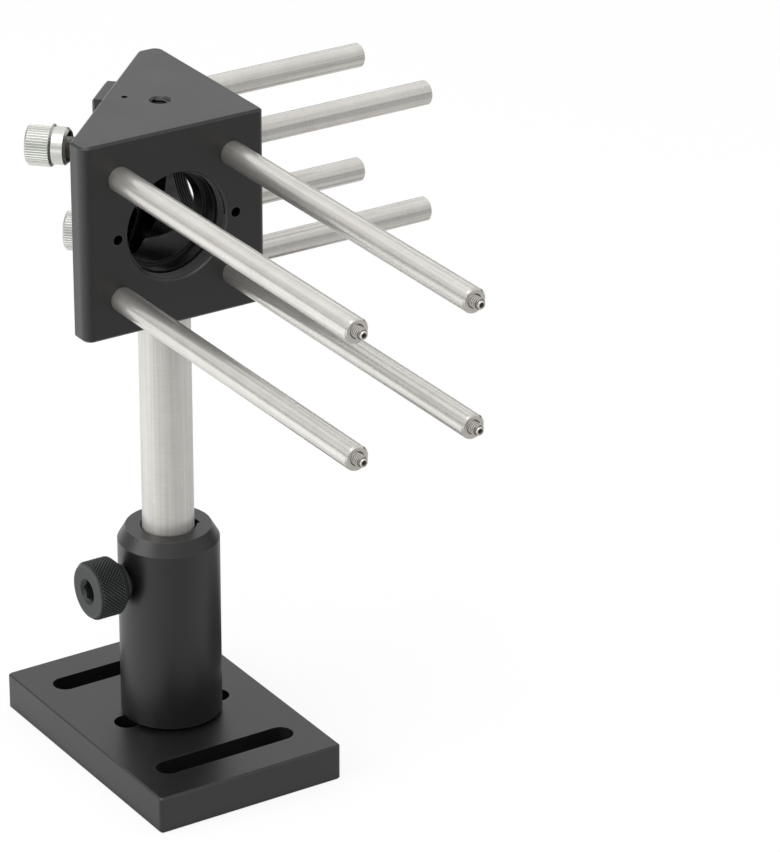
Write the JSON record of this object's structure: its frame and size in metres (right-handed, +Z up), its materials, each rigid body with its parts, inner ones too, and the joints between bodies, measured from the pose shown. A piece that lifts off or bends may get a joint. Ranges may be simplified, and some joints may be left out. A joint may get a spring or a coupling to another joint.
{
  "type": "right-angle kinematic mirror mount",
  "caption": "Right-angle mirror mount with tilt adjusters and cage rods, on a clamped post, holder and slotted base.",
  "frame": {"origin": "on the post's axis, at the underside of the base", "axes": "+Z up along the post; -Y out of the front port, along the long rods; +X out of the side port"},
  "size_m": [0.1014, 0.16, 0.1704],
  "materials": {
    "adjuster_screw_steel": "fine threaded",
    "ball_steel": "hardened and polished",
    "black_anodised": "black anodised, fine satin",
    "black_knurled_steel": "black oxide, diamond knurled",
    "bright_steel": "bright",
    "bushing_brass": "plain turned",
    "dark_screw_steel": "black oxide",
    "knob_steel": "satin, straight knurled",
    "mirror_silver": "polished",
    "stainless": "satin ground",
    "tip_brass": "plain turned"
  },
  "bodies": {
    "stand": {"base_plate": "black_anodised", "base_cap_screw": "dark_screw_steel", "post_holder": "black_anodised"},
    "post": {"post": "stainless", "post_stud": "dark_screw_steel"},
    "head": {"housing": "black_anodised", "front_rod_upper_left": "stainless", "front_rod_upper_right": "stainless", "front_rod_lower_left": "stainless", "front_rod_lower_right": "stainless", "side_rod_upper_front": "stainless", "side_rod_upper_back": "stainless", "side_rod_lower_front": "stainless", "side_rod_lower_back": "stainless", "rod_root_studs": "dark_screw_steel", "rod_end_studs": "dark_screw_steel", "adjuster_seat_upper": "ball_steel", "adjuster_seat_lower": "ball_steel", "spring_anchors": "bright_steel", "tension_spring_upper": "bright_steel", "tension_spring_lower": "bright_steel"},
    "clamp_tip": {"clamp_tip": "tip_brass"},
    "thumbscrew": {"clamp_thumbscrew": "black_knurled_steel"},
    "pivot_ball": {"pivot_ball": "ball_steel"},
    "carriage": {"mirror_carriage": "black_anodised", "mirror": "mirror_silver", "mirror_lock_screw": "dark_screw_steel", "adjuster_bushing_upper": "bushing_brass", "adjuster_bushing_lower": "bushing_brass", "spring_caps": "bright_steel"},
    "upper_tip": {"adjuster_ball_upper": "ball_steel"},
    "upper_adjuster": {"adjuster_screw_upper": "adjuster_screw_steel", "adjuster_knob_upper": "knob_steel"},
    "lower_tip": {"adjuster_ball_lower": "ball_steel"},
    "lower_adjuster": {"adjuster_screw_lower": "adjuster_screw_steel", "adjuster_knob_lower": "knob_steel"}
  },
  "joints": [
    {"name": "post_slide", "type": "slide", "parent": "stand", "child": "post", "axis": [0, 0, 1], "range_m": [-0.0028, 0.02]},
    {"name": "head_swivel", "type": "hinge", "parent": "post", "child": "head", "pos_m": [0, 0, 0.12172], "axis": [0, 0, 1], "continuous": true},
    {"name": "clamp_travel", "type": "slide", "parent": "stand", "child": "clamp_tip", "axis": [-1, 0, 0], "range_m": [0, 0.00382]},
    {"name": "thumbscrew_turn", "type": "hinge", "parent": "clamp_tip", "child": "thumbscrew", "pos_m": [-0.0125, 0, 0.04802], "axis": [-1, 0, 0], "range_deg": [0, 1080]},
    {"name": "carriage_yaw", "type": "hinge", "parent": "head", "child": "pivot_ball", "pos_m": [0.00587, 0.01492, 0.16285], "axis": [0, 0, 1], "range_deg": [-3, 3]},
    {"name": "carriage_pitch", "type": "hinge", "parent": "pivot_ball", "child": "carriage", "pos_m": [0.00587, 0.01492, 0.16285], "axis": [0.7071, 0.7071, 0], "range_deg": [-2.7, 2.7]},
    {"name": "upper_tip_travel", "type": "slide", "parent": "carriage", "child": "upper_tip", "axis": [-0.7071, 0.7071, 0], "range_m": [-0.00153, 0.00153]},
    {"name": "upper_adjuster_turn", "type": "hinge", "parent": "upper_tip", "child": "upper_adjuster", "pos_m": [-0.01987, -0.00092, 0.16285], "axis": [-0.7071, 0.7071, 0], "range_deg": [-2160, 2160]},
    {"name": "lower_tip_travel", "type": "slide", "parent": "carriage", "child": "lower_tip", "axis": [-0.7071, 0.7071, 0], "range_m": [-0.00153, 0.00153]},
    {"name": "lower_adjuster_turn", "type": "hinge", "parent": "lower_tip", "child": "lower_adjuster", "pos_m": [0.00092, 0.01987, 0.12925], "axis": [-0.7071, 0.7071, 0], "range_deg": [-2160, 2160]}
  ],
  "couplings": [
    {"joint": "clamp_travel", "follows": "thumbscrew_turn", "m_per_rad": 0.00020213},
    {"joint": "upper_tip_travel", "follows": "upper_adjuster_turn", "m_per_rad": 0.000040425},
    {"joint": "carriage_yaw", "follows": "upper_adjuster_turn", "ratio": 0.001375},
    {"joint": "lower_tip_travel", "follows": "lower_adjuster_turn", "m_per_rad": 0.000040425},
    {"joint": "carriage_pitch", "follows": "lower_adjuster_turn", "ratio": -0.0012031}
  ]
}
